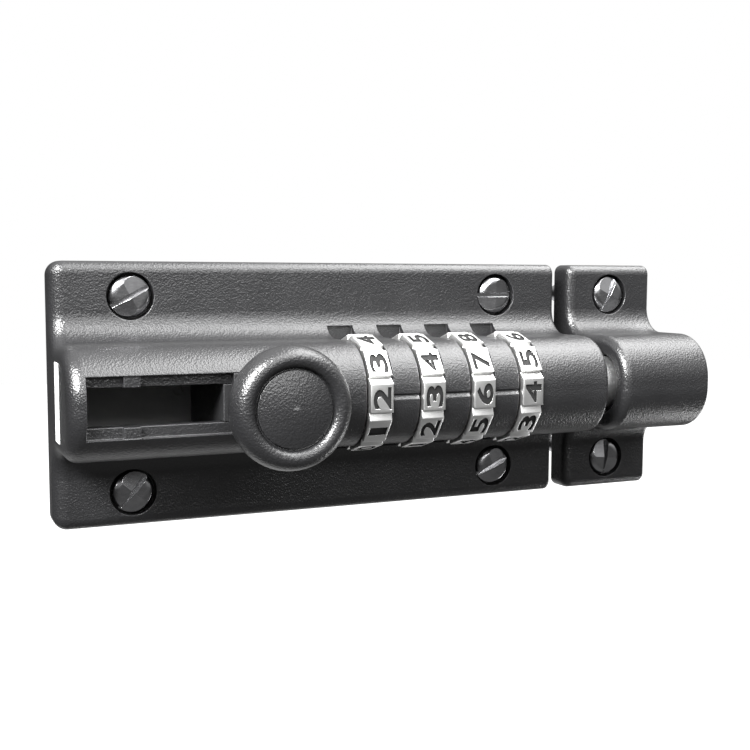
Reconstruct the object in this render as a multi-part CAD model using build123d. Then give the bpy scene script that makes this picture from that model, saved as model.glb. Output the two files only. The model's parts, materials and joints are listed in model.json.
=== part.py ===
from build123d import *
import math
import os

# Combination slide bolt and its keep, in millimetres.
# +X runs along the bolt towards the keep, -Y points out of the door and +Z is up.
# The origin is the centre of the case's back face. "Depth" is the distance out from that face.

# --- case casting ---
caseLength = 120.0
caseHeight = 56.0
plateThickness = 6.4
longEdgeRadius = 2.4          # rounding of the plate's top and bottom front edges
leftEndRadius = 3.0           # rounding all round the left end
noseEndRadius = 1.0           # rounding all round the end that faces the keep
axisDepth = 19.2              # back face to the axis shared by rod, wheels and barrel
barrelReach = 11.2            # axis to the front of the barrel
barrelHalfHeight = 11.3
barrelShoulder = 10.2         # rounding between the barrel's front and its sides
webFillet = 6.0               # hollow fillet from barrel to plate

# --- rod ---
rodRadius = 6.25
rodFit = 0.08                 # running clearance round the rod, on the radius
tipRounding = 1.2
tipProud = 0.5                # how far the withdrawn tip still stands out of the case
keywayWidth = 3.0
keywayDepth = 2.1
spigotRadius = 4.0
toothSideGap = 0.25           # each side of a code tooth, in the keyway and in its groove

# --- wheels and code rings ---
wheelCount = 4
wheelPitch = 12.09
firstWheelFromPlate = 15.395  # guide plate's right edge to the middle of the nearest wheel
wheelRadius = 12.6            # over the corners of the number faces
wheelWidth = 5.2
wheelFaces = 10
rampDrop = 1.0                # depth of the step between two number faces
faceLowAngle = 14.5           # a number face reaches this far below its middle, degrees
faceHighAngle = 13.3          # and this far above it
rampEndAngle = 21.0           # where the ramp above a face meets the next step
wheelEdgeChamfer = 0.3
ringRadius = 9.2              # outside of the code ring
ringFit = 0.05                # ring in wheel, and ring on rod, on the radius
ribRadius = 0.8
toothWidth = 2.5
toothThickness = 2.0          # along the rod
toothRoot = 1.0               # how far the tooth runs into its ring
pocketSideGap = 0.5           # wheel to pocket wall, each side
pocketHalfHeight = 13.9
pocketFloorDepth = 6.9
wheelTipGap = 0.7             # wheel to the round bottom of its pocket
washerThickness = 0.3
washerRadius = 10.6
indexUpper = 0.72             # read line's upper edge above the axis, and its lower edge below it
indexLower = 0.78
indexDepth = 0.5
indexLean = 0.5               # height of the groove's upper wall

# --- window, carriage and knob ---
travel = 1.5 * wheelPitch     # half a pitch past a whole one, so the grooves of rest and end interleave
windowEndInset = 3.4          # case's left end to the window
windowHalfHeight = 3.85       # inner opening
recessHalfHeight = 6.05       # outer step of the window
ledgeDepth = 27.6             # depth of the step's floor
tabRightInset = 10.3          # window's left end to the right side of the tabs
tabWidth = 3.2
tabRise = 1.3                 # tabs' front above the step's floor
stopGap = 0.1                 # guide plate to tabs when withdrawn, and carriage to wall when thrown
channelMargin = 0.75          # channel that the carriage runs in is this much rounder than the rod
slideGap = 0.15               # carriage and plate to the walls that guide them
carriageLead = 1.7            # carriage reaches this far left of the guide plate
carriageLength = 19.8
neckTopGap = 0.1
guidePlateLength = 15.6
guidePlateThickness = 1.7
knobRadius = 12.05
knobCentreFromPlate = 7.7     # left edge of the guide plate to the knob's axis
knobNeckRadius = 4.6
knobNeckFlare = 1.8
knobBackDepth = 36.8
knobCrestDepth = 44.6
rimBackRound = 3.6            # rounding of the rim's rear
rimFrontInset = 2.6           # outer edge to the crest of the rim, square to the axis
rimFrontHeight = 3.9          # and along the axis
moatLipInset = 1.5            # crest to the start of the moat's hollow
moatLipDrop = 1.3
moatHollow = 0.3
knobDomeRadius = 7.4
knobDomeRise = 1.0
knobDomeDraft = 0.1
knobScrewRadius = 2.0
knobScrewHeadRadius = 3.6
knobScrewHeadHeight = 2.2
threadBite = 7.0              # depth of the knob's screw hole
threadEndGap = 0.5
ballRadius = 1.6
ballSpringWire = 0.35
ballSpringTurns = 5
ballWellDepth = 7.5
ballFromEnd = 15.4            # carriage's left end to the ball's centre
dimpleRadius = 1.0
dimpleDepth = 0.5

# --- back cover, leaf spring, label ---
coverThickness = 1.2
coverMargin = 4.0             # cover reaches past the channel by this much, above and below
coverEndMargin = 2.2          # cover's edge beyond the channel at the left, and beyond the last wheel
coverFit = 0.1
coverScrewRadius = 1.25
coverScrewLength = 5.0
coverScrewHeadRadius = 2.2
coverScrewSlot = 0.6          # width and depth of its driver slot
coverScrewEndGap = 0.3
countersinkDepth = 0.96
coverScrewInset = 2.3         # from the cover's long and short edges
leafThickness = 0.4
leafHalfHeight = 3.4
leafFlat = 4.0                # length of each crest under its wheel
leafGap = 0.08                # crest to the circle of the wheel's corners
leafTroughGap = 0.5
leafFootSpread = 0.55         # share of the gap between crests taken by each slope
rivetRadius = 1.0
rivetHeadRadius = 1.8
rivetHeadHeight = 0.6
rivetTailInset = 0.1
labelLength = 15.8
labelWidth = 5.0
labelThickness = 0.3
labelSeat = 0.2
labelDepth = 15.4             # middle of the label, out from the back face

# --- mounting screws ---
screwEndInset = 16.4          # case's ends to the screws
screwSideInset = 7.3          # case's long edges to the screws
screwShankRadius = 2.25       # threaded part, behind the plate
screwNeckRadius = 2.55        # plain part inside the plate
screwHeadRadius = 4.5
screwHeadHeight = 3.4
screwLength = 25.0            # under the head
screwPointLength = 4.0
screwPointRadius = 0.2
screwHeadCrown = 1.7          # rounding of the head's top edge
holeClearance = 0.25          # round the neck
sinkClearance = 0.5           # round the head
sinkDepth = 3.1
oneWayRoof = 1.5              # drop of the head's sloping wings
slotWidth = 0.9
slotDepth = 1.3
wingOverhang = 1.2            # wing cut and slot reach past the head by this factor

# --- keep ---
doorGap = 4.3                 # case to keep
keepLength = 24.4
keepLeadRadius = 2.0          # rounding of the side that the bolt enters
socketClearance = 0.6         # round the rod
socketEndGap = 2.5            # beyond the thrown bolt's tip
socketChamfer = 1.2
keepScrewOffset = 0.1         # screws stand this far left of the keep's middle

# --- working allowances ---
overCut = 1.0                 # cuts run past the face they open by this much
indexOverCut = 0.1
near = 0.01                   # tolerance when an edge is picked by its place

# --- values that follow ---
noseX = caseLength / 2
windowLeftX = -noseX + windowEndInset
tabRightX = windowLeftX + tabRightInset
channelRadius = rodRadius + channelMargin
coverHalfHeight = channelRadius + coverMargin
screwSpacingX = caseLength - 2 * screwEndInset
screwSpacingZ = caseHeight - 2 * screwSideInset
barrelFront = axisDepth + barrelReach
tabLeftX = tabRightX - tabWidth
plateLeftX = tabRightX + stopGap + travel
plateRightX = plateLeftX + guidePlateLength
carriageLeftX = plateLeftX - carriageLead
carriageRightX = carriageLeftX + carriageLength
channelRightX = carriageRightX + stopGap
recessRightX = plateRightX + stopGap
knobX = plateLeftX + knobCentreFromPlate
tipX = noseX + travel + tipProud
firstWheelX = plateRightX + firstWheelFromPlate
wheelXs = [firstWheelX + i * wheelPitch for i in range(wheelCount)]
grooveXs = wheelXs + [x + travel for x in wheelXs]
grooveWidth = toothThickness + 2 * toothSideGap
toothInner = rodRadius - keywayDepth + toothSideGap
pocketWidth = wheelWidth + 2 * pocketSideGap
coverLeftX = windowLeftX - coverEndMargin
coverRightX = wheelXs[-1] + pocketWidth / 2 + coverEndMargin
keepLeftX = noseX + doorGap
keepRightX = keepLeftX + keepLength
keepScrewX = keepLeftX + keepLength / 2 - keepScrewOffset
socketDepth = tipX - keepLeftX + socketEndGap
crestDepth = axisDepth - wheelRadius - leafGap
troughLeftX = wheelXs[0] - wheelPitch / 2 - leafTroughGap
troughRightX = wheelXs[-1] + wheelPitch / 2 - leafTroughGap
guideTopDepth = ledgeDepth + slideGap + guidePlateThickness


def acrossPlane(x):
    """Section plane at x: local x is depth, local y is +Z, and it extrudes towards -X."""
    return Plane(origin=(x, 0, 0), x_dir=(0, -1, 0), z_dir=(-1, 0, 0))


def outPlane(x, z, depth=0.0):
    """Plane facing out of the door at one depth: local x is +X, local y is +Z."""
    return Plane(origin=(x, -depth, z), x_dir=(1, 0, 0), z_dir=(0, -1, 0))


def box(x0, x1, depth0, depth1, z0, z1):
    size = (x1 - x0, depth1 - depth0, z1 - z0)
    return Pos((x0 + x1) / 2, -(depth0 + depth1) / 2, (z0 + z1) / 2) * Box(*size)


def rodAlong(x0, x1, radius):
    """Solid cylinder on the bolt's axis."""
    return extrude(acrossPlane(x1) * Pos(axisDepth, 0) * Circle(radius), x1 - x0)


def drillOut(x, z, depth0, depth1, radius):
    """Solid cylinder square to the door, between two depths."""
    return extrude(outPlane(x, z, depth0) * Circle(radius), depth1 - depth0)


def barrelSection():
    plate = Pos(plateThickness / 2, 0) * Rectangle(plateThickness, caseHeight)
    barrel = Pos(barrelFront / 2, 0) * Rectangle(barrelFront, 2 * barrelHalfHeight)
    outline = plate + barrel
    corners = outline.vertices()
    outline = fillet(corners.filter_by(lambda v: abs(v.X - barrelFront) < near), barrelShoulder)
    corners = outline.vertices()
    hollows = corners.filter_by(
        lambda v: abs(v.X - plateThickness) < near and abs(abs(v.Y) - barrelHalfHeight) < near
    )
    outline = fillet(hollows, webFillet)
    corners = outline.vertices()
    rims = corners.filter_by(
        lambda v: abs(v.X - plateThickness) < near and abs(abs(v.Y) - caseHeight / 2) < near
    )
    return fillet(rims, longEdgeRadius)


def roundedEnd(body, x, radius):
    """Round the whole outline of one end, apart from its edge on the back face."""
    atEnd = body.edges().filter_by(
        lambda e: all(abs(v.X - x) < near for v in e.vertices()) and abs(e.center().Y) > near
    )
    return fillet(atEnd, radius)


def barrelCasting(x0, x1, leftRadius, rightRadius):
    body = extrude(acrossPlane(x1) * barrelSection(), x1 - x0)
    body = roundedEnd(body, x0, leftRadius)
    return roundedEnd(body, x1, rightRadius)


def screwHole(x, z):
    top = plateThickness + overCut
    neck = drillOut(x, z, -overCut, top, screwNeckRadius + holeClearance)
    sink = drillOut(x, z, plateThickness - sinkDepth, top, screwHeadRadius + sinkClearance)
    return neck + sink


def caseHoles():
    return [(sx * screwSpacingX / 2, sz * screwSpacingZ / 2) for sx in (-1, 1) for sz in (-1, 1)]


def coverHoles():
    xs = (coverLeftX + coverScrewInset, coverRightX - coverScrewInset)
    z = coverHalfHeight - coverScrewInset
    return [(x, side * z) for x in xs for side in (-1, 1)]


def wheelPocket(x):
    left = x - pocketWidth / 2
    right = x + pocketWidth / 2
    top = barrelFront + overCut
    slot = box(left, right, pocketFloorDepth, top, -pocketHalfHeight, pocketHalfHeight)
    return slot + rodAlong(left, right, wheelRadius + wheelTipGap)


def channel():
    """Rounded channel behind the window, open to the back."""
    bore = rodAlong(windowLeftX, channelRightX, channelRadius)
    return bore + box(windowLeftX, channelRightX, -overCut, axisDepth, -channelRadius, channelRadius)


def window():
    top = barrelFront + overCut
    opening = box(windowLeftX, channelRightX, axisDepth, top, -windowHalfHeight, windowHalfHeight)
    step = box(windowLeftX, recessRightX, ledgeDepth, top, -recessHalfHeight, recessHalfHeight)
    outer = recessHalfHeight + overCut
    tabTop = ledgeDepth + tabRise
    step -= box(tabLeftX, tabRightX, 0, tabTop, windowHalfHeight, outer)
    step -= box(tabLeftX, tabRightX, 0, tabTop, -outer, -windowHalfHeight)
    return opening + step


def indexGroove(x0, x1):
    """Read line on the barrel's front: a short wall above and a longer slope below."""
    points = [
        (barrelFront + indexOverCut, indexUpper),
        (barrelFront - indexDepth, indexUpper - indexLean),
        (barrelFront + indexOverCut, -indexLower),
    ]
    return extrude(acrossPlane(x1) * make_face(Polyline(*points, close=True)), x1 - x0)


def makeCase():
    body = barrelCasting(-caseLength / 2, caseLength / 2, leftEndRadius, noseEndRadius)
    body -= rodAlong(channelRightX - overCut, noseX + overCut, rodRadius + rodFit)
    body -= channel()
    body -= window()
    for x in wheelXs:
        body -= wheelPocket(x)
    for x in wheelXs[:-1]:
        start = x + pocketWidth / 2 - indexOverCut
        body -= indexGroove(start, start + wheelPitch - pocketWidth + 2 * indexOverCut)
    for x, z in caseHoles():
        body -= screwHole(x, z)
    seat = coverHalfHeight + coverFit
    body -= box(coverLeftX - coverFit, coverRightX + coverFit, -overCut, coverThickness, -seat, seat)
    trough = leafHalfHeight + leafTroughGap
    body -= box(troughLeftX, troughRightX, 0, pocketFloorDepth, -trough, trough)
    for x, z in coverHoles():
        body -= drillOut(x, z, 0, coverScrewLength, coverScrewRadius)
    labelSpace = labelWidth / 2 + coverFit
    labelEnd = labelLength / 2 + coverFit
    body -= box(
        -noseX - overCut, -noseX + labelSeat,
        labelDepth - labelSpace, labelDepth + labelSpace, -labelEnd, labelEnd,
    )
    return body


def makeKeep():
    body = barrelCasting(keepLeftX, keepRightX, keepLeadRadius, noseEndRadius)
    socketRadius = rodRadius + socketClearance
    body -= rodAlong(keepLeftX - overCut, keepLeftX + socketDepth, socketRadius)
    mouth = Circle(socketRadius + socketChamfer)
    throat = Circle(socketRadius)
    outer = acrossPlane(keepLeftX) * Pos(axisDepth, 0) * mouth
    inner = acrossPlane(keepLeftX + socketChamfer) * Pos(axisDepth, 0) * throat
    body -= loft([outer, inner])
    for side in (-1, 1):
        body -= screwHole(keepScrewX, side * screwSpacingZ / 2)
    return body


def ringOfSection(x, thickness, outline):
    """Extrude an outline drawn about the bolt's axis, centred on x."""
    return extrude(acrossPlane(x + thickness / 2) * Pos(axisDepth, 0) * outline, thickness)


def polar(radius, degrees):
    return (radius * math.cos(math.radians(degrees)), radius * math.sin(math.radians(degrees)))


def wheelOutline():
    """Ratchet-shaped rim: each flat face ends in a ramp above it and a step below it."""
    pitchAngle = 360 / wheelFaces
    points = []
    for face in range(wheelFaces):
        middle = face * pitchAngle
        points.append(polar(wheelRadius, middle - faceLowAngle))
        points.append(polar(wheelRadius, middle + faceHighAngle))
        points.append(polar(wheelRadius - rampDrop, middle + rampEndAngle))
    return make_face(Polyline(*points, close=True))


def ribCentres():
    return [polar(ringRadius, (i + 0.5) * 360 / wheelFaces) for i in range(wheelFaces)]


def makeWheel(x):
    outline = wheelOutline() - Circle(ringRadius + ringFit)
    for px, pz in ribCentres():
        outline -= Pos(px, pz) * Circle(ribRadius + ringFit)
    body = ringOfSection(x, wheelWidth, outline)
    edgeRing = wheelRadius + overCut
    for side in (-1, 1):
        face = x + side * wheelWidth / 2
        inside = face - side * wheelEdgeChamfer
        wide = acrossPlane(inside) * Pos(axisDepth, 0) * Circle(wheelRadius)
        narrow = acrossPlane(face) * Pos(axisDepth, 0) * Circle(wheelRadius - wheelEdgeChamfer)
        block = rodAlong(min(face, inside), max(face, inside), edgeRing)
        body -= block - loft([wide, narrow])
    return body


def makeCodeRing(x):
    outline = Circle(ringRadius)
    for px, pz in ribCentres():
        outline += Pos(px, pz) * Circle(ribRadius)
    outline -= Circle(rodRadius + ringFit)
    body = ringOfSection(x, wheelWidth, outline)
    toothOuter = ringRadius - toothRoot
    reach = (toothInner + toothOuter) / 2
    tooth = Pos(-reach, 0) * Rectangle(toothOuter - toothInner, toothWidth)
    return body + ringOfSection(x, toothThickness, tooth)


def makeWasher(x):
    centre = x + (wheelWidth + pocketSideGap) / 2
    outline = Circle(washerRadius) - Circle(rodRadius + rodFit + ringFit)
    return ringOfSection(centre, washerThickness, outline)


def makeRod():
    body = rodAlong(carriageRightX, tipX, rodRadius)
    tipEdge = body.edges().filter_by(lambda e: e.geom_type == GeomType.CIRCLE).sort_by(Axis.X)[-1]
    body = fillet(tipEdge, tipRounding)
    body += rodAlong(carriageLeftX + carriageLead, carriageRightX, spigotRadius)
    for x in grooveXs:
        ring = Circle(rodRadius + overCut) - Circle(rodRadius - keywayDepth)
        body -= ringOfSection(x, grooveWidth, ring)
    keyBottom = axisDepth - rodRadius + keywayDepth
    keyEnd = grooveXs[-1] + grooveWidth / 2
    body -= box(carriageRightX - overCut, keyEnd, 0, keyBottom, -keywayWidth / 2, keywayWidth / 2)
    return body - drillOut(knobX, 0, 0, barrelFront, knobScrewRadius)


def makeCarriage():
    radius = channelRadius - slideGap
    body = rodAlong(carriageLeftX, carriageRightX, radius)
    body += box(carriageLeftX, carriageRightX, coverThickness + slideGap, axisDepth, -radius, radius)
    neck = windowHalfHeight - slideGap
    body += box(carriageLeftX, carriageRightX, axisDepth, ledgeDepth + slideGap, -neck, neck)
    body -= rodAlong(carriageLeftX + carriageLead, carriageRightX + overCut, spigotRadius)
    body -= drillOut(knobX, 0, 0, barrelFront, knobScrewRadius)
    headSeat = coverThickness + slideGap + knobScrewHeadHeight + neckTopGap
    body -= drillOut(knobX, 0, 0, headSeat, knobScrewHeadRadius + slideGap)
    ballX = carriageLeftX + ballFromEnd
    return body - drillOut(ballX, 0, 0, coverThickness + slideGap + ballWellDepth, ballRadius + ringFit)


def makeGuidePlate():
    half = recessHalfHeight - slideGap
    base = ledgeDepth + slideGap
    body = box(plateLeftX, plateRightX, base, guideTopDepth, -half, half)
    return body - drillOut(knobX, 0, 0, barrelFront + overCut, knobScrewRadius)


def makeKnob():
    """Turned knob: r is the distance from its axis, and the second number is depth."""
    base = guideTopDepth
    flareX = knobNeckRadius + knobNeckFlare
    backX = knobRadius - rimBackRound
    crestX = knobRadius - rimFrontInset
    sideTop = knobCrestDepth - rimFrontHeight
    moatX = crestX - moatLipInset - moatHollow
    floor = knobCrestDepth - moatLipDrop - moatHollow
    domeCurve = (knobDomeRadius**2 + knobDomeRise**2) / (2 * knobDomeRise)
    domeMiddle = knobCrestDepth - domeCurve + math.sqrt(domeCurve**2 - knobDomeRadius**2 / 4)
    back = knobBackDepth
    lines = [
        Polyline((0, base), (knobNeckRadius, base), (knobNeckRadius, back - knobNeckFlare)),
        EllipticalCenterArc((flareX, back - knobNeckFlare), knobNeckFlare, knobNeckFlare, 90),
        Line((flareX, back), (backX, back)),
        EllipticalCenterArc((backX, back + rimBackRound), rimBackRound, rimBackRound, -90),
        Line((knobRadius, back + rimBackRound), (knobRadius, sideTop)),
        EllipticalCenterArc((crestX, sideTop), rimFrontInset, rimFrontHeight, 0),
        EllipticalCenterArc((crestX, knobCrestDepth - moatLipDrop), moatLipInset, moatLipDrop, 90),
        EllipticalCenterArc((moatX, floor + moatHollow), moatHollow, moatHollow, -90),
        Polyline(
            (moatX, floor),
            (knobDomeRadius + knobDomeDraft, floor),
            (knobDomeRadius, knobCrestDepth - knobDomeRise),
        ),
        ThreePointArc(
            (knobDomeRadius, knobCrestDepth - knobDomeRise),
            (knobDomeRadius / 2, domeMiddle),
            (0, knobCrestDepth),
        ),
        Line((0, knobCrestDepth), (0, base)),
    ]
    turned = revolve(make_face(Wire.combine(lines)[0]), Axis.Y)
    body = Pos(knobX, 0, 0) * Rot(0, 0, 180) * turned
    return body - drillOut(knobX, 0, base - overCut, base + threadBite, knobScrewRadius)


def makeKnobScrew():
    headBase = coverThickness + slideGap + neckTopGap
    head = drillOut(knobX, 0, headBase, headBase + knobScrewHeadHeight, knobScrewHeadRadius)
    shank = drillOut(knobX, 0, headBase, guideTopDepth + threadBite - threadEndGap, knobScrewRadius)
    reach = knobScrewHeadRadius + overCut
    driver = box(knobX - reach, knobX + reach, 0, headBase + slotDepth, -slotWidth / 2, slotWidth / 2)
    return head + shank - driver


def makeBall():
    depth = coverThickness + ringFit + ballRadius
    return Pos(carriageLeftX + ballFromEnd, -depth, 0) * Sphere(ballRadius)


def makeBallSpring():
    start = coverThickness + ringFit + 2 * ballRadius + ballSpringWire
    end = coverThickness + slideGap + ballWellDepth - ballSpringWire
    coilRadius = ballRadius - 2 * ballSpringWire
    coil = Helix(pitch=(end - start) / ballSpringTurns, height=end - start, radius=coilRadius)
    section = Plane(origin=coil @ 0, z_dir=coil % 0) * Circle(ballSpringWire)
    wire = sweep(section, path=coil)
    return Pos(carriageLeftX + ballFromEnd, -start, 0) * Rot(90, 0, 0) * wire


def makeCover():
    body = box(coverLeftX, coverRightX, 0, coverThickness, -coverHalfHeight, coverHalfHeight)
    for x, z in coverHoles():
        body -= drillOut(x, z, -overCut, coverThickness + overCut, coverScrewRadius)
        body -= countersink(x, z)
    for x in rivetXs():
        body -= drillOut(x, 0, -overCut, coverThickness + overCut, rivetRadius)
    for shift in (0, travel):
        x = carriageLeftX + ballFromEnd - shift
        body -= drillOut(x, 0, coverThickness - dimpleDepth, coverThickness + overCut, dimpleRadius)
    return body


def countersink(x, z):
    wide = outPlane(x, z, 0) * Circle(coverScrewHeadRadius)
    narrow = outPlane(x, z, countersinkDepth) * Circle(coverScrewRadius)
    return loft([wide, narrow])


def makeCoverScrews():
    screws = []
    reach = coverScrewHeadRadius + overCut
    half = coverScrewSlot / 2
    for x, z in coverHoles():
        body = drillOut(x, z, 0, coverScrewLength - coverScrewEndGap, coverScrewRadius)
        body += countersink(x, z)
        driver = box(x - reach, x + reach, -overCut, coverScrewSlot, z - half, z + half)
        screws.append(body - driver)
    return screws


def rivetXs():
    return [(wheelXs[i] + wheelXs[i + 1]) / 2 for i in (0, wheelCount - 2)]


def makeLeafSpring():
    """Corrugated strip: one flat crest under each wheel, feet on the cover between them."""
    foot = coverThickness
    rise = leafFootSpread * (wheelPitch - leafFlat) / 2
    line = []
    for x in wheelXs:
        line.append((x - leafFlat / 2 - rise, foot))
        line.append((x - leafFlat / 2, crestDepth - leafThickness))
        line.append((x + leafFlat / 2, crestDepth - leafThickness))
        line.append((x + leafFlat / 2 + rise, foot))
    upper = [(x, depth + leafThickness) for x, depth in reversed(line)]
    face = make_face(Polyline(*line, *upper, close=True))
    flat = Plane(origin=(0, 0, -leafHalfHeight), x_dir=(1, 0, 0), z_dir=(0, 0, 1))
    strip = extrude(flat * mirror(face, Plane.XZ), 2 * leafHalfHeight)
    for x in rivetXs():
        strip -= drillOut(x, 0, -overCut, crestDepth, rivetRadius)
    return strip


def makeRivets():
    rivets = []
    top = coverThickness + leafThickness
    for x in rivetXs():
        body = drillOut(x, 0, rivetTailInset, top, rivetRadius)
        body += drillOut(x, 0, top, top + rivetHeadHeight, rivetHeadRadius)
        rivets.append(body)
    return rivets


def makeLabel():
    x0 = -noseX + labelSeat - labelThickness
    inner = labelDepth - labelWidth / 2
    end = labelLength / 2
    return box(x0, x0 + labelThickness, inner, inner + labelWidth, -end, end)


def wingCut(side):
    """Wedge above one half of a screw head, deepest at the end that a driver would push to undo it."""
    reach = side * wingOverhang * screwHeadRadius
    origin = (0, -screwHeadHeight, side * slotWidth / 2)
    plane = Plane(origin=origin, x_dir=(1, 0, 0), z_dir=(0, 0, side))
    outline = Polyline((0, 0), (reach, 0), (reach, side * oneWayRoof), close=True)
    return extrude(plane * make_face(outline), wingOverhang * screwHeadRadius)


def oneWayScrew(x, z, turn):
    """Round head with a slot and two wings cut away, so that it drives in and never out."""
    seat = plateThickness - sinkDepth
    head = extrude(outPlane(0, 0) * Circle(screwHeadRadius), screwHeadHeight)
    rim = head.edges().filter_by(lambda e: abs(e.center().Y + screwHeadHeight) < near)
    head = fillet(rim, screwHeadCrown)
    slotLength = 2 * wingOverhang * screwHeadRadius
    slotMiddle = -screwHeadHeight + slotDepth / 2
    head -= Pos(0, slotMiddle, 0) * Box(slotLength, slotDepth, slotWidth)
    for side in (-1, 1):
        head -= wingCut(side)
    neck = drillOut(0, 0, -seat, 0, screwNeckRadius)
    threadEnd = screwLength - screwPointLength
    thread = drillOut(0, 0, -threadEnd, -seat, screwShankRadius)
    wide = outPlane(0, 0, -threadEnd) * Circle(screwShankRadius)
    narrow = outPlane(0, 0, -screwLength) * Circle(screwPointRadius)
    point = loft([wide, narrow])
    return Pos(x, -seat, z) * Rot(0, turn, 0) * (head + neck + thread + point)


def makeCaseScrews():
    turns = (-50, -28, -25, 0)
    return [oneWayScrew(x, z, turn) for (x, z), turn in zip(caseHoles(), turns)]


def makeKeepScrews():
    turns = (-85, -65)
    return [oneWayScrew(keepScrewX, side * screwSpacingZ / 2, turn) for side, turn in zip((-1, 1), turns)]


def save(name, shape):
    solids = shape if isinstance(shape, list) else [shape]
    bodies = [solid for item in solids for solid in item.solids()]
    whole = bodies[0] if len(bodies) == 1 else Compound(children=bodies)
    export_step(whole, os.path.join("parts", name + ".step"))
    print(name, len(bodies), round(sum(body.volume for body in bodies), 1))


os.makedirs("parts", exist_ok=True)
save("case", makeCase())
save("keep", makeKeep())
save("back_cover", makeCover())
save("cover_screws", makeCoverScrews())
save("leaf_spring", makeLeafSpring())
save("leaf_rivets", makeRivets())
save("label_plate", makeLabel())
save("case_screws", makeCaseScrews())
save("keep_screws", makeKeepScrews())
for number, wheelX in enumerate(wheelXs, start=1):
    save(f"number_wheel_{number}", makeWheel(wheelX))
    save(f"code_ring_{number}", makeCodeRing(wheelX))
    save(f"wave_washer_{number}", makeWasher(wheelX))
save("bolt_rod", makeRod())
save("carriage", makeCarriage())
save("guide_plate", makeGuidePlate())
save("knob", makeKnob())
save("knob_screw", makeKnobScrew())
save("detent_ball", makeBall())
save("detent_spring", makeBallSpring())
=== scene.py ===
import json
import math
import bmesh
import bpy
from mathutils import Matrix, Vector


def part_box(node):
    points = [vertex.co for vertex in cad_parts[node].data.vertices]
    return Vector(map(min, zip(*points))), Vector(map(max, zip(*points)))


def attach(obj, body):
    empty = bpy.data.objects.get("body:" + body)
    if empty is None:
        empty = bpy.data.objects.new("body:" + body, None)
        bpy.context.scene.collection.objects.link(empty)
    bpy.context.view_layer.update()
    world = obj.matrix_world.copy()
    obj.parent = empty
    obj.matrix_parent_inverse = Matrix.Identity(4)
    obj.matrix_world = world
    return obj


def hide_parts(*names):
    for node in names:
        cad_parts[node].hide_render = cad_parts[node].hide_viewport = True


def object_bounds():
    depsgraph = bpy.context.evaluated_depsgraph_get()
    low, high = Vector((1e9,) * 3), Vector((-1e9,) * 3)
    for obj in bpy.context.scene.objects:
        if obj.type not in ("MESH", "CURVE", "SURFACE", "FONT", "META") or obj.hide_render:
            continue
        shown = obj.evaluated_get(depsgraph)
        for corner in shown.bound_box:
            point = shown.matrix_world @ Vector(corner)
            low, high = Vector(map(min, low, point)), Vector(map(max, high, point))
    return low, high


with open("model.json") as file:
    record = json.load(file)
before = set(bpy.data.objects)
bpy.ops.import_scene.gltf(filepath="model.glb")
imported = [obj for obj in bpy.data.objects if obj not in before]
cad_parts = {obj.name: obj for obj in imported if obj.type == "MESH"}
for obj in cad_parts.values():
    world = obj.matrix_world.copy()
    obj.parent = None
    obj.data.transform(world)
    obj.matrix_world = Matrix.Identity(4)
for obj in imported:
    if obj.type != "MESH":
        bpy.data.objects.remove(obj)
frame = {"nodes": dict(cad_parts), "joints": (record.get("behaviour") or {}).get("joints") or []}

cadBox = [list(corner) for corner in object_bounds()]
nodes = frame["nodes"]
print("frame loaded:", len(nodes), "nodes")


def addNode(tree, kind, **settings):
    node = tree.nodes.new(kind)
    for name, value in settings.items():
        setattr(node, name, value)
    return node


def setInputs(node, **values):
    for name, value in values.items():
        node.inputs[name.replace("_", " ")].default_value = value
    return node


def mathNode(tree, operation, first, second=None, clamp=False):
    node = addNode(tree, "ShaderNodeMath", operation=operation, use_clamp=clamp)
    for socket, value in zip(node.inputs, (first, second)):
        if value is None:
            continue
        if isinstance(value, (int, float)):
            socket.default_value = value
        else:
            tree.links.new(value, socket)
    return node.outputs[0]


def mixColour(tree, amount, first, second):
    node = addNode(tree, "ShaderNodeMix", data_type="RGBA")
    for socket, value in zip((node.inputs[0], node.inputs[6], node.inputs[7]), (amount, first, second)):
        if hasattr(value, "links"):
            tree.links.new(value, socket)
        else:
            socket.default_value = value
    return node.outputs[2]


def newGroup(name, inputs, outputs):
    group = bpy.data.node_groups.new(name, "ShaderNodeTree")
    for label, start in inputs:
        socket = group.interface.new_socket(name=label, in_out="INPUT", socket_type="NodeSocketFloat")
        socket.default_value = start
    for label, kind in outputs:
        group.interface.new_socket(name=label, in_out="OUTPUT", socket_type=kind)
    return group, addNode(group, "NodeGroupInput"), addNode(group, "NodeGroupOutput")


def useGroup(tree, group, **values):
    node = addNode(tree, "ShaderNodeGroup", node_tree=group)
    return setInputs(node, **values)


def smoothMesh(mesh, degrees=32):
    mesh.polygons.foreach_set("use_smooth", [True] * len(mesh.polygons))
    mesh.set_sharp_from_angle(angle=math.radians(degrees))


def addPiece(name, mesh, body, replaced=(), materials=()):
    piece = bpy.data.objects.new(name, mesh)
    bpy.context.scene.collection.objects.link(piece)
    for material in materials:
        mesh.materials.append(material)
    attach(piece, body)
    if replaced:
        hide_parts(*replaced)
    return piece


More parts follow.
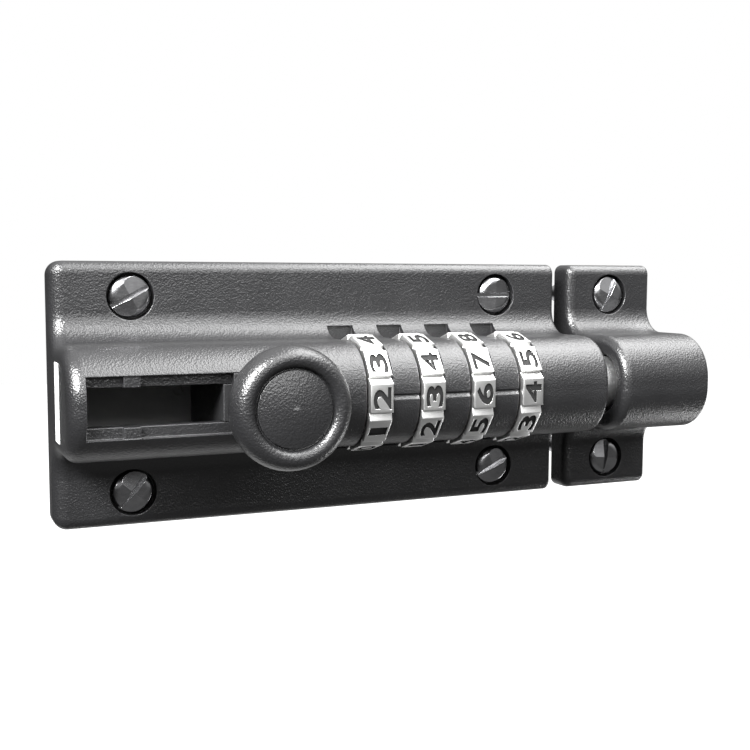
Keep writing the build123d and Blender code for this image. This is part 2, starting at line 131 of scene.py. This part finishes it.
def makeCastGrain():
    # orange-peel skin of a powder-coated casting, plus a finer grit
    group, given, out = newGroup(
        "castGrain", [("Cell Size", 0.0005), ("Grit", 0.3)], [("Height", "NodeSocketFloat")]
    )
    place = addNode(group, "ShaderNodeTexCoord").outputs["Object"]
    scale = mathNode(group, "DIVIDE", 1.0, given.outputs["Cell Size"])
    cells = addNode(group, "ShaderNodeTexVoronoi", feature="SMOOTH_F1")
    setInputs(cells, Smoothness=0.8)
    warp = setInputs(addNode(group, "ShaderNodeTexNoise"), Detail=2.0)
    fine = setInputs(addNode(group, "ShaderNodeTexNoise"), Detail=3.0)
    for texture, factor in ((cells, 1.0), (warp, 0.6), (fine, 2.6)):
        group.links.new(place, texture.inputs["Vector"])
        group.links.new(mathNode(group, "MULTIPLY", scale, factor), texture.inputs["Scale"])
    peel = mathNode(group, "ADD", cells.outputs["Distance"], warp.outputs["Fac"])
    grit = mathNode(group, "MULTIPLY", fine.outputs["Fac"], given.outputs["Grit"])
    group.links.new(mathNode(group, "ADD", peel, grit), out.inputs["Height"])
    return group


def makeEdgeTouch():
    # soft rounding of hard edges, and a mask that is high along them
    group, given, out = newGroup(
        "edgeTouch",
        [("Radius", 0.0003), ("Gain", 6.0)],
        [("Edge", "NodeSocketFloat"), ("Normal", "NodeSocketVector")],
    )
    bevel = addNode(group, "ShaderNodeBevel", samples=6)
    group.links.new(given.outputs["Radius"], bevel.inputs["Radius"])
    facing = addNode(group, "ShaderNodeNewGeometry").outputs["Normal"]
    likeness = addNode(group, "ShaderNodeVectorMath", operation="DOT_PRODUCT")
    group.links.new(bevel.outputs[0], likeness.inputs[0])
    group.links.new(facing, likeness.inputs[1])
    turned = mathNode(group, "SUBTRACT", 1.0, likeness.outputs["Value"])
    edge = mathNode(group, "MULTIPLY", turned, given.outputs["Gain"], clamp=True)
    group.links.new(edge, out.inputs["Edge"])
    group.links.new(bevel.outputs[0], out.inputs["Normal"])
    return group


def makeHandling():
    # finger smudges and hairline scratches
    group, given, out = newGroup(
        "handling",
        [("Smudge Size", 0.008), ("Scratch Size", 0.0006), ("Stretch", 12.0)],
        [("Smudge", "NodeSocketFloat"), ("Scratch", "NodeSocketFloat")],
    )
    place = addNode(group, "ShaderNodeTexCoord").outputs["Object"]
    smudge = setInputs(addNode(group, "ShaderNodeTexNoise"), Detail=5.0, Roughness=0.6)
    group.links.new(place, smudge.inputs["Vector"])
    group.links.new(mathNode(group, "DIVIDE", 1.0, given.outputs["Smudge Size"]), smudge.inputs["Scale"])
    squeeze = addNode(group, "ShaderNodeCombineXYZ")
    group.links.new(mathNode(group, "DIVIDE", 1.0, given.outputs["Stretch"]), squeeze.inputs["X"])
    squeeze.inputs["Y"].default_value = 1.0
    squeeze.inputs["Z"].default_value = 1.0
    stretched = addNode(group, "ShaderNodeVectorMath", operation="MULTIPLY")
    group.links.new(place, stretched.inputs[0])
    group.links.new(squeeze.outputs[0], stretched.inputs[1])
    lines = setInputs(addNode(group, "ShaderNodeTexNoise"), Detail=4.0, Roughness=0.7)
    group.links.new(stretched.outputs[0], lines.inputs["Vector"])
    group.links.new(mathNode(group, "DIVIDE", 1.0, given.outputs["Scratch Size"]), lines.inputs["Scale"])
    group.links.new(smudge.outputs["Fac"], out.inputs["Smudge"])
    group.links.new(lines.outputs["Fac"], out.inputs["Scratch"])
    return group


castGrain = makeCastGrain()
edgeTouch = makeEdgeTouch()
handling = makeHandling()
print("shader groups ready")


def newMaterial(name):
    material = bpy.data.materials.new(name)
    material.use_nodes = True
    tree = material.node_tree
    return material, tree, tree.nodes["Principled BSDF"]


coatLook = {
    "colour": (0.010, 0.010, 0.0105, 1),
    "wornColour": (0.10, 0.10, 0.105, 1),
    "dustColour": (0.017, 0.017, 0.018, 1),
    "roughness": 0.32,
    "specular": 0.75,
    "cellSize": 0.00034,
    "grit": 0.35,
    "bumpHeight": 0.0001,
    "bumpStrength": 0.7,
    "edgeRadius": 0.0003,
    "edgeWear": 0.45,
    "smudgeSize": 0.012,
    "smudgeRoughness": 0.14,
}


def coatMaterial(name, **changes):
    look = dict(coatLook, **changes)
    material, tree, shader = newMaterial(name)
    setInputs(shader, Specular_IOR_Level=look["specular"])
    grain = useGroup(tree, castGrain, Cell_Size=look["cellSize"], Grit=look["grit"])
    edge = useGroup(tree, edgeTouch, Radius=look["edgeRadius"])
    marks = useGroup(tree, handling, Smudge_Size=look["smudgeSize"])
    base = mixColour(tree, marks.outputs["Smudge"], look["colour"], look["dustColour"])
    worn = mathNode(tree, "MULTIPLY", edge.outputs["Edge"], look["edgeWear"])
    tree.links.new(mixColour(tree, worn, base, look["wornColour"]), shader.inputs["Base Color"])
    centred = mathNode(tree, "SUBTRACT", marks.outputs["Smudge"], 0.5)
    spread = mathNode(tree, "MULTIPLY", centred, look["smudgeRoughness"])
    tree.links.new(mathNode(tree, "ADD", spread, look["roughness"]), shader.inputs["Roughness"])
    bump = addNode(tree, "ShaderNodeBump")
    setInputs(bump, Strength=look["bumpStrength"], Distance=look["bumpHeight"])
    tree.links.new(grain.outputs["Height"], bump.inputs["Height"])
    tree.links.new(edge.outputs["Normal"], bump.inputs["Normal"])
    tree.links.new(bump.outputs[0], shader.inputs["Normal"])
    return material


metalLook = {
    "colour": (0.6, 0.6, 0.61, 1),
    "darkColour": (0.4, 0.4, 0.41, 1),
    "roughness": 0.25,
    "roughnessSpread": 0.15,
    "scratchSize": 0.0003,
    "stretch": 8.0,
    "smudgeSize": 0.004,
    "bumpHeight": 0.000006,
    "bumpStrength": 0.6,
    "edgeRadius": 0.00015,
}


def metalMaterial(name, **changes):
    look = dict(metalLook, **changes)
    material, tree, shader = newMaterial(name)
    setInputs(shader, Metallic=1.0)
    edge = useGroup(tree, edgeTouch, Radius=look["edgeRadius"])
    marks = useGroup(
        tree, handling,
        Smudge_Size=look["smudgeSize"], Scratch_Size=look["scratchSize"], Stretch=look["stretch"],
    )
    base = mixColour(tree, marks.outputs["Smudge"], look["darkColour"], look["colour"])
    tree.links.new(mixColour(tree, edge.outputs["Edge"], base, look["colour"]), shader.inputs["Base Color"])
    uneven = mathNode(tree, "MULTIPLY", marks.outputs["Scratch"], look["roughnessSpread"])
    tree.links.new(mathNode(tree, "ADD", uneven, look["roughness"]), shader.inputs["Roughness"])
    bump = addNode(tree, "ShaderNodeBump")
    setInputs(bump, Strength=look["bumpStrength"], Distance=look["bumpHeight"])
    tree.links.new(marks.outputs["Scratch"], bump.inputs["Height"])
    tree.links.new(edge.outputs["Normal"], bump.inputs["Normal"])
    tree.links.new(bump.outputs[0], shader.inputs["Normal"])
    return material


paintLook = {
    "smudgeSize": 0.003,
    "scratchSize": 0.0004,
    "roughnessSpread": 0.12,
    "bumpHeight": 0.000008,
    "bumpStrength": 0.5,
}


def paintMaterial(name, colour, shade, roughness):
    look = paintLook
    material, tree, shader = newMaterial(name)
    marks = useGroup(
        tree, handling, Smudge_Size=look["smudgeSize"], Scratch_Size=look["scratchSize"], Stretch=1.0
    )
    tree.links.new(mixColour(tree, marks.outputs["Smudge"], colour, shade), shader.inputs["Base Color"])
    uneven = mathNode(tree, "MULTIPLY", marks.outputs["Scratch"], look["roughnessSpread"])
    tree.links.new(mathNode(tree, "ADD", uneven, roughness), shader.inputs["Roughness"])
    bump = addNode(tree, "ShaderNodeBump")
    setInputs(bump, Strength=look["bumpStrength"], Distance=look["bumpHeight"])
    tree.links.new(marks.outputs["Scratch"], bump.inputs["Height"])
    tree.links.new(bump.outputs[0], shader.inputs["Normal"])
    return material


caseCoat = coatMaterial("caseCoat")
knobCoat = coatMaterial("knobCoat", cellSize=0.00038)
slideCoat = coatMaterial("slideCoat", roughness=0.45, bumpHeight=0.00005)
wheelPlating = metalMaterial(
    "wheelPlating", colour=(0.86, 0.86, 0.85, 1), darkColour=(0.72, 0.72, 0.71, 1),
    roughness=0.32, roughnessSpread=0.16, stretch=1.0, bumpHeight=0.00001,
)
numeralInk = paintMaterial("numeralInk", (0.004, 0.004, 0.004, 1), (0.008, 0.008, 0.008, 1), 0.62)
rodChrome = metalMaterial(
    "rodChrome", colour=(0.92, 0.92, 0.92, 1), darkColour=(0.86, 0.86, 0.86, 1),
    roughness=0.4, roughnessSpread=0.1, stretch=30.0, bumpHeight=0.000002,
)
screwSteel = metalMaterial(
    "screwSteel", colour=(0.58, 0.58, 0.59, 1), darkColour=(0.26, 0.26, 0.27, 1),
    roughness=0.13, roughnessSpread=0.18, scratchSize=0.0005, stretch=3.0, bumpHeight=0.00003,
)
coverCoat = coatMaterial(
    "coverCoat", colour=(0.16, 0.16, 0.16, 1), dustColour=(0.22, 0.22, 0.22, 1),
    roughness=0.5, bumpHeight=0.00001,
)
smallSteel = metalMaterial("smallSteel", colour=(0.55, 0.55, 0.56, 1), roughness=0.28)
ringBrass = metalMaterial(
    "ringBrass", colour=(0.78, 0.58, 0.28, 1), darkColour=(0.62, 0.44, 0.2, 1), roughness=0.26
)
labelFoil = paintMaterial("labelFoil", (0.82, 0.82, 0.81, 1), (0.76, 0.76, 0.75, 1), 0.45)
print("materials ready")

nodeMaterials = {
    "case": caseCoat, "keep": caseCoat, "knob": knobCoat, "carriage": slideCoat, "guide_plate": slideCoat,
    "back_cover": coverCoat, "cover_screws": smallSteel, "leaf_spring": smallSteel,
    "leaf_rivets": ringBrass,
    "label_plate": labelFoil, "case_screws": screwSteel, "keep_screws": screwSteel, "bolt_rod": rodChrome,
    "knob_screw": smallSteel, "detent_ball": rodChrome, "detent_spring": smallSteel,
}


def dressNodes():
    for name, node in nodes.items():
        material = nodeMaterials.get(name)
        if name.startswith("code_ring"):
            material = ringBrass
        if name.startswith("wave_washer"):
            material = smallSteel
        if material is None:
            continue
        for slot in node.material_slots:
            slot.material = material
        smoothMesh(node.data)


dressNodes()
print("cad nodes dressed")


wheelShape = {
    "openCode": (2, 3, 6, 4),      # numbers on the read line, from the knob to the keep
    "faces": 10,
    "lowAngle": 14.5,              # degrees from a face's middle down to its edge
    "highAngle": 13.3,             # degrees from its middle up to the ramp
    "rampEnd": 21.0,
    "rampDrop": 0.0010,
    "cornerRounding": 0.00014,
    "rimRounding": 0.0003,
    "boreRadius": 0.00925,
    "numeralHeight": 0.0040,
    "numeralWidth": 0.0046,
    "narrowNumeralWidth": 0.0022,
    "numeralFattening": 0.028,
    "engraving": 0.00028,
}
cutScale = 1000                    # numerals are cut at this many times the size


longestReach = 0.35                # share of an edge that a rounded corner may take up


def roundedCorners(points, radius, steps=3):
    # replaces every corner of a closed outline with a short arc-like curve
    rounded = []
    for i, corner in enumerate(points):
        before = points[i - 1] - corner
        after = points[(i + 1) % len(points)] - corner
        reach = min(radius, before.length * longestReach, after.length * longestReach)
        start = corner + before.normalized() * reach
        end = corner + after.normalized() * reach
        for step in range(steps + 1):
            t = step / steps
            rounded.append(start * (1 - t) ** 2 + corner * 2 * t * (1 - t) + end * t ** 2)
    return rounded


def wheelOutline(radius):
    # points are (out of the door, up), seen from the keep's end
    shape = wheelShape
    points = []
    for face in range(shape["faces"]):
        middle = face * 360 / shape["faces"]
        for angle, r in (
            (middle - shape["lowAngle"], radius),
            (middle + shape["highAngle"], radius),
            (middle + shape["rampEnd"], radius - shape["rampDrop"]),
        ):
            turn = math.radians(angle)
            points.append(Vector((r * math.cos(turn), r * math.sin(turn))))
    return roundedCorners(points, shape["cornerRounding"])


def wheelMesh(name, centre, radius, width):
    shape = wheelShape
    outline = wheelOutline(radius)
    rounding = shape["rimRounding"]
    half = width / 2
    rings = [(-half, None)]
    for step in range(4):
        turn = math.radians(90 * step / 3)
        rings.append((-half + rounding * (1 - math.cos(turn)), rounding * (1 - math.sin(turn))))
    rings += [(-x, drop) for x, drop in reversed(rings)]
    bm = bmesh.new()
    loops = []
    for x, drop in rings:
        loop = []
        for point in outline:
            if drop is None:
                flat = point.normalized() * shape["boreRadius"]
            else:
                flat = point - point.normalized() * drop
            loop.append(bm.verts.new(centre + Vector((x, -flat.x, flat.y))))
        loops.append(loop)
    count = len(outline)
    for a, b in zip(loops, loops[1:] + loops[:1]):
        for i in range(count):
            j = (i + 1) % count
            bm.faces.new((a[i], a[j], b[j], b[i]))
    bmesh.ops.recalc_face_normals(bm, faces=bm.faces)
    if bm.calc_volume(signed=True) < 0:
        bmesh.ops.reverse_faces(bm, faces=bm.faces)
    mesh = bpy.data.meshes.new(name)
    bm.to_mesh(mesh)
    bm.free()
    return mesh


def numeralMesh(digit):
    # a numeral standing on the xy plane, one unit thick, its outline slightly fattened
    text = bpy.data.curves.new("numeral", "FONT")
    text.body = str(digit)
    text.resolution_u = 4
    text.extrude = 0.5
    text.offset = wheelShape["numeralFattening"]
    holder = bpy.data.objects.new("numeral", text)
    bpy.context.scene.collection.objects.link(holder)
    mesh = bpy.data.meshes.new_from_object(holder.evaluated_get(bpy.context.evaluated_depsgraph_get()))
    bpy.data.objects.remove(holder)
    bpy.data.curves.remove(text)
    return mesh


def numeralSize(mesh):
    # scales a numeral to its printed size, with its foot below the surface by the engraving
    shape = wheelShape
    xs = [v.co.x for v in mesh.vertices]
    ys = [v.co.y for v in mesh.vertices]
    middle = Vector(((min(xs) + max(xs)) / 2, (min(ys) + max(ys)) / 2, 0))
    across, tall = max(xs) - min(xs), max(ys) - min(ys)
    width = shape["narrowNumeralWidth"] if across < tall / 2 else shape["numeralWidth"]
    scale = Matrix.Diagonal((width / across, shape["numeralHeight"] / tall, shape["engraving"] * 2, 1))
    return scale @ Matrix.Translation(-middle)


def numeralPlacement(centre, radius, face):
    # numerals stand with their tops towards the knob
    shape = wheelShape
    turn = math.radians(360 / shape["faces"] * face)
    half = math.radians((shape["lowAngle"] + shape["highAngle"]) / 2)
    tilt = math.radians((shape["highAngle"] - shape["lowAngle"]) / 2)
    out = radius * math.cos(half)
    basis = Matrix(((0, -1, 0, 0), (0, 0, -1, 0), (1, 0, 0, 0), (0, 0, 0, 1)))
    spin = Matrix.Rotation(-(turn + tilt), 4, "X")
    return Matrix.Translation(centre) @ spin @ Matrix.Translation((0, -out, 0)) @ basis


def numeralCutters(centre, radius, code):
    whole = bmesh.new()
    for face in range(wheelShape["faces"]):
        mesh = numeralMesh((code + face) % wheelShape["faces"])
        size = numeralSize(mesh)
        part = bmesh.new()
        part.from_mesh(mesh)
        bmesh.ops.remove_doubles(part, verts=part.verts, dist=1e-5)
        part.transform(numeralPlacement(centre, radius, face) @ size)
        bmesh.ops.recalc_face_normals(part, faces=part.faces)
        if part.calc_volume(signed=True) < 0:
            bmesh.ops.reverse_faces(part, faces=part.faces)
        part.to_mesh(mesh)
        part.free()
        whole.from_mesh(mesh)
        bpy.data.meshes.remove(mesh)
    cutters = bpy.data.meshes.new("cutters")
    whole.transform(Matrix.Scale(cutScale, 4))
    whole.to_mesh(cutters)
    whole.free()
    cutters.materials.append(numeralInk)
    return cutters


def cutNumerals(mesh, centre, radius, code):
    # the cut is made at a large scale, where rounding errors don't matter
    mesh.materials.append(wheelPlating)
    mesh.transform(Matrix.Scale(cutScale, 4))
    knife = bpy.data.objects.new("knife", numeralCutters(centre, radius, code))
    blank = bpy.data.objects.new("blank", mesh)
    for thing in (knife, blank):
        bpy.context.scene.collection.objects.link(thing)
    cut = blank.modifiers.new("cut", "BOOLEAN")
    cut.operation = "DIFFERENCE"
    cut.solver = "MANIFOLD"
    cut.object = knife
    cut.material_mode = "TRANSFER"
    result = bpy.data.meshes.new_from_object(blank.evaluated_get(bpy.context.evaluated_depsgraph_get()))
    for thing in (knife, blank):
        bpy.data.objects.remove(thing)
    result.transform(Matrix.Scale(1 / cutScale, 4))
    return result


def makeWheels():
    for number, code in enumerate(wheelShape["openCode"], start=1):
        node = f"number_wheel_{number}"
        low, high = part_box(node)
        joint = next(j for j in frame["joints"] if j["name"] == f"wheel_{number}_spin")
        centre = Vector(joint["pos_m"])
        width = high.x - low.x
        radius = max(abs(low.y - centre.y), abs(high.z - centre.z), abs(low.z - centre.z))
        centre.x = (low.x + high.x) / 2
        mesh = wheelMesh(node + "_rim", centre, radius, width)
        mesh = cutNumerals(mesh, centre, radius, code)
        smoothMesh(mesh, 25)
        addPiece(f"wheel_{number}_rim", mesh, f"wheel_{number}_body", (node,))
        print("wheel", number, "cut with", len(mesh.polygons), "faces")


makeWheels()


cameraRig = {
    "azimuth": 23.63,
    "elevation": 5.08,
    "roll": 0.19,
    "aim": (0.01054, -0.010, 0.00275),
    "distance": 0.24822,
    "lens": 52.59,
    "sensorWidth": 36,
    "clipStart": 0.01,
}


def makeCamera():
    rig = cameraRig
    azimuth, elevation, roll = (math.radians(rig[key]) for key in ("azimuth", "elevation", "roll"))
    level = math.cos(elevation)
    forward = Vector((math.sin(azimuth) * level, math.cos(azimuth) * level, -math.sin(elevation)))
    right = forward.cross(Vector((0, 0, 1))).normalized()
    up = right.cross(forward)
    right, up = (
        right * math.cos(roll) + up * math.sin(roll),
        up * math.cos(roll) - right * math.sin(roll),
    )
    lens = bpy.data.cameras.new("camera")
    lens.lens = rig["lens"]
    lens.sensor_width = rig["sensorWidth"]
    lens.clip_start = rig["clipStart"]
    camera = bpy.data.objects.new("camera", lens)
    bpy.context.scene.collection.objects.link(camera)
    place = Vector(rig["aim"]) - forward * rig["distance"]
    turned = Matrix((right, up, -forward)).transposed().to_4x4()
    camera.matrix_world = Matrix.Translation(place) @ turned
    bpy.context.scene.camera = camera


studio = {
    "floorDrop": 0.35,
    "floorSize": 8.0,
    "floorColour": (0.86, 0.86, 0.86, 1),
    "floorGlow": 0.45,
    "floorRoughness": 0.9,
    "ambient": 0.03,
    "glows": {
        # name: direction, nearness where it starts, strength
        "ceiling": ((0.1, -0.15, 1.0), -0.05, 1.3),
        "floor": ((0.1, -0.4, -1.0), 0.2, 0.14),
        "floorBehind": ((0.1, 0.75, -0.66), 0.78, 0.9),
        "rightRim": ((0.9, 0.42, 0.05), 0.90, 1.6),
    },
    "lights": {
        # name: place, aim, size, power
        "topSoftbox": ((0.30, -0.12, 0.56), (0.06, -0.01, 0.0), (0.85, 0.42), 9.8),
        "leftSoftbox": ((-0.46, -0.34, 0.42), (-0.01, -0.02, 0.0), (0.40, 0.20), 21.0),
        "frontSoftbox": ((0.02, -0.80, 0.34), (0.01, -0.01, 0.0), (0.6, 0.14), 2.4),
        "lowBounce": ((0.50, 0.06, -0.32), (0.09, -0.01, 0.0), (0.20, 0.20), 0.9),
    },
}


def makeLights():
    for name, (place, aim, size, power) in studio["lights"].items():
        light = bpy.data.lights.new(name, "AREA")
        light.shape = "RECTANGLE"
        light.size, light.size_y = size
        light.energy = power
        lamp = bpy.data.objects.new(name, light)
        bpy.context.scene.collection.objects.link(lamp)
        lamp.location = place
        lamp.rotation_euler = (Vector(aim) - Vector(place)).to_track_quat("-Z", "Y").to_euler()


def glow(tree, facing, toward, start, strength):
    # a soft patch of light around one direction
    nearness = addNode(tree, "ShaderNodeVectorMath", operation="DOT_PRODUCT")
    tree.links.new(facing, nearness.inputs[0])
    nearness.inputs[1].default_value = Vector(toward).normalized()
    spread = addNode(tree, "ShaderNodeMapRange", interpolation_type="SMOOTHSTEP")
    spread.inputs["From Min"].default_value = start
    spread.inputs["From Max"].default_value = 1.0
    spread.inputs["To Max"].default_value = strength
    tree.links.new(nearness.outputs["Value"], spread.inputs["Value"])
    return spread.outputs["Result"]


def makeWorld():
    # the camera sees plain white; everything else sees the room's patches of light
    world = bpy.data.worlds.new("studio")
    world.use_nodes = True
    tree = world.node_tree
    background = tree.nodes["Background"]
    facing = addNode(tree, "ShaderNodeTexCoord").outputs["Generated"]
    room = studio["ambient"]
    for toward, start, strength in studio["glows"].values():
        room = mathNode(tree, "ADD", glow(tree, facing, toward, start, strength), room)
    seen = addNode(tree, "ShaderNodeLightPath").outputs["Is Camera Ray"]
    tree.links.new(mathNode(tree, "MAXIMUM", room, seen), background.inputs["Strength"])
    background.inputs["Color"].default_value = (1, 1, 1, 1)
    bpy.context.scene.world = world


def makeFloor():
    size = studio["floorSize"] / 2
    mesh = bpy.data.meshes.new("floor")
    corners = [(-size, -size, 0), (size, -size, 0), (size, size, 0), (-size, size, 0)]
    mesh.from_pydata(corners, [], [(0, 1, 2, 3)])
    floor = bpy.data.objects.new("floor", mesh)
    bpy.context.scene.collection.objects.link(floor)
    floor.location.z = cadBox[0][2] - studio["floorDrop"]
    floor.visible_diffuse = False
    floor.visible_glossy = False
    material, tree, shader = newMaterial("floorPaper")
    shader.inputs["Base Color"].default_value = studio["floorColour"]
    shader.inputs["Roughness"].default_value = studio["floorRoughness"]
    shader.inputs["Emission Color"].default_value = (1, 1, 1, 1)
    shader.inputs["Emission Strength"].default_value = studio["floorGlow"]
    mesh.materials.append(material)


makeCamera()
makeLights()
makeWorld()
makeFloor()
bpy.context.scene.view_settings.view_transform = "Standard"
print("studio ready")
